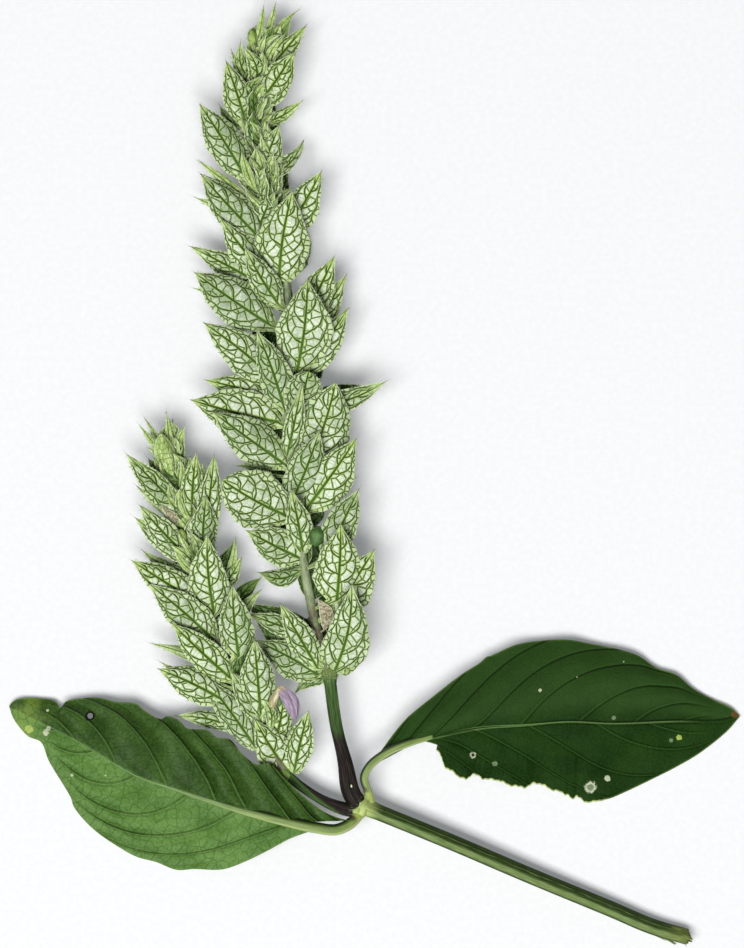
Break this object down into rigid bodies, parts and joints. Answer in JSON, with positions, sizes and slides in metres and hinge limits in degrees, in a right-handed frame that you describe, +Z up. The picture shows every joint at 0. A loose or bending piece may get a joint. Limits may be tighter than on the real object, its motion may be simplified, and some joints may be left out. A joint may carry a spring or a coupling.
{
  "type": "cut sprig of white shrimp plant",
  "caption": "Cut sprig of white shrimp plant lying flat: a four-angled stem, leaves and upright spikes of overlapping pale bracts with green net veins.",
  "frame": {"origin": "on the surface that the sprig lies on, below the middle of its outline", "axes": "+Y runs towards the tip of the main spike, +Z points up from the surface to the side that faces the viewer, +X runs to the right towards the cut end of the stem"},
  "size_m": [0.1466, 0.1894, 0.0147],
  "materials": {
    "stem": "satin",
    "leaf_under": "satin",
    "leaf_upper": "satin",
    "bracts": "matt",
    "petal": "matt"
  },
  "bodies": {
    "root": {"stem": "stem", "leaf_left": "leaf_under", "leaf_right": "leaf_upper", "main_spike": "bracts", "side_spike": "bracts", "corolla": "petal"}
  },
  "joints": []
}
